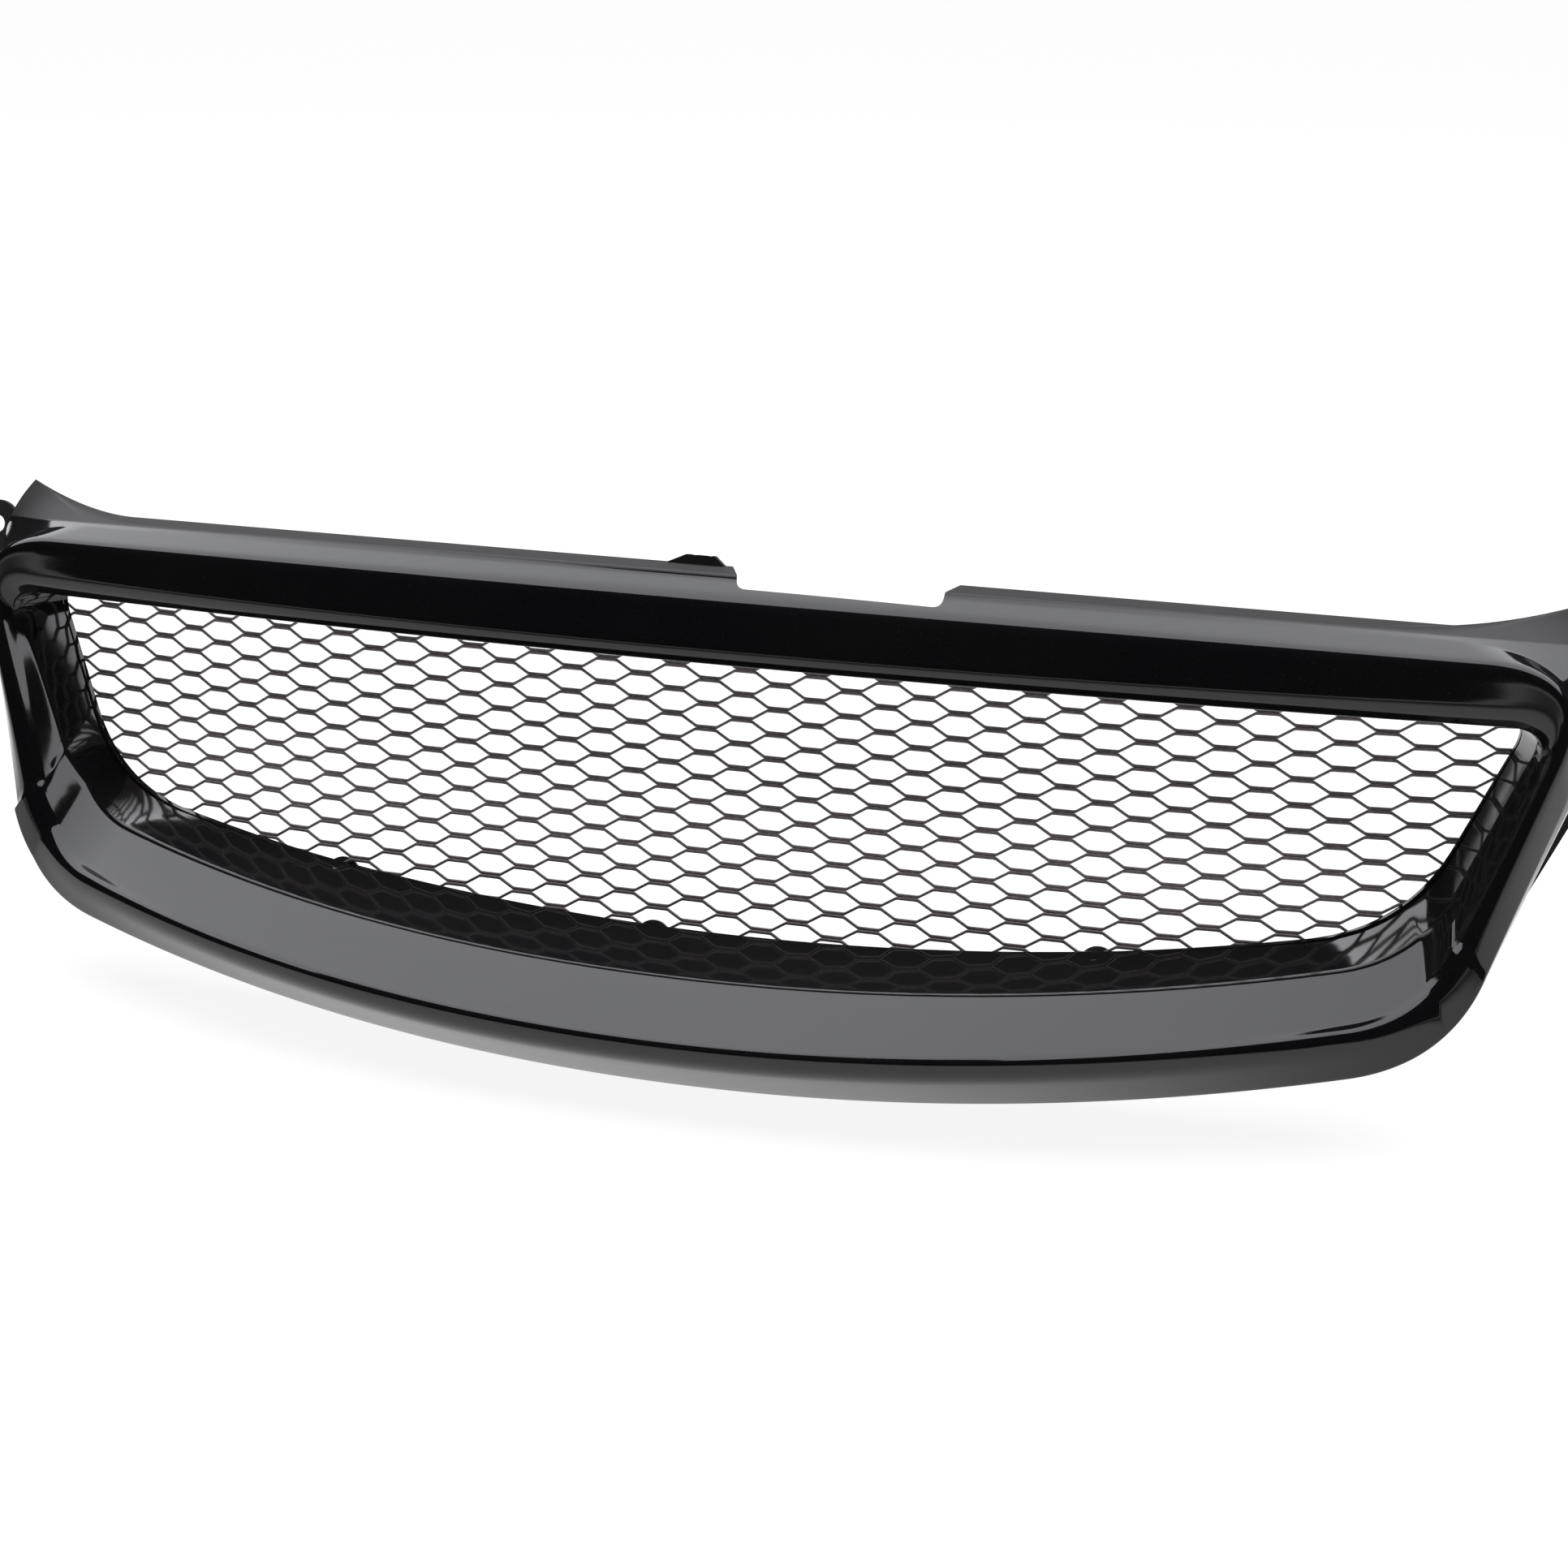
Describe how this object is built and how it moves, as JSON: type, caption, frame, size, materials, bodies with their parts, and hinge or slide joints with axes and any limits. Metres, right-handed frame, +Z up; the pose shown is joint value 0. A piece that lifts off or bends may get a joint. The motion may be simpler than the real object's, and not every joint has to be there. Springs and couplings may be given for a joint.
{
  "type": "front grille",
  "caption": "Car front grille: a gloss black rounded frame with a deep smiling opening, a hexagonal wire mesh screwed behind it, a latch notch in the top flange and an ear at each end.",
  "frame": {"origin": "middle of the width and depth, on the surface it stands on", "axes": "+X across the width to the right seen from the front, +Y to the back, +Z up; the front leans back"},
  "size_m": [0.614, 0.1332, 0.1595],
  "materials": {
    "bezel": "gloss black moulded plastic",
    "duct": "gloss black moulded plastic",
    "mesh": "satin dark grey paint on expanded aluminium",
    "screws": "black oxide",
    "washers": "zinc plated",
    "brackets": "satin black coated steel"
  },
  "bodies": {
    "root": {"bezel": "bezel", "duct": "duct", "mesh_panel": "mesh", "lower_mesh_screws": "screws", "lower_mesh_washers": "washers", "upper_mesh_screws": "screws", "upper_mesh_washers": "washers", "joint_screws": "screws", "end_bracket_left": "brackets", "end_bracket_right": "brackets", "bracket_screws_left": "washers", "bracket_screws_right": "washers"}
  },
  "joints": []
}
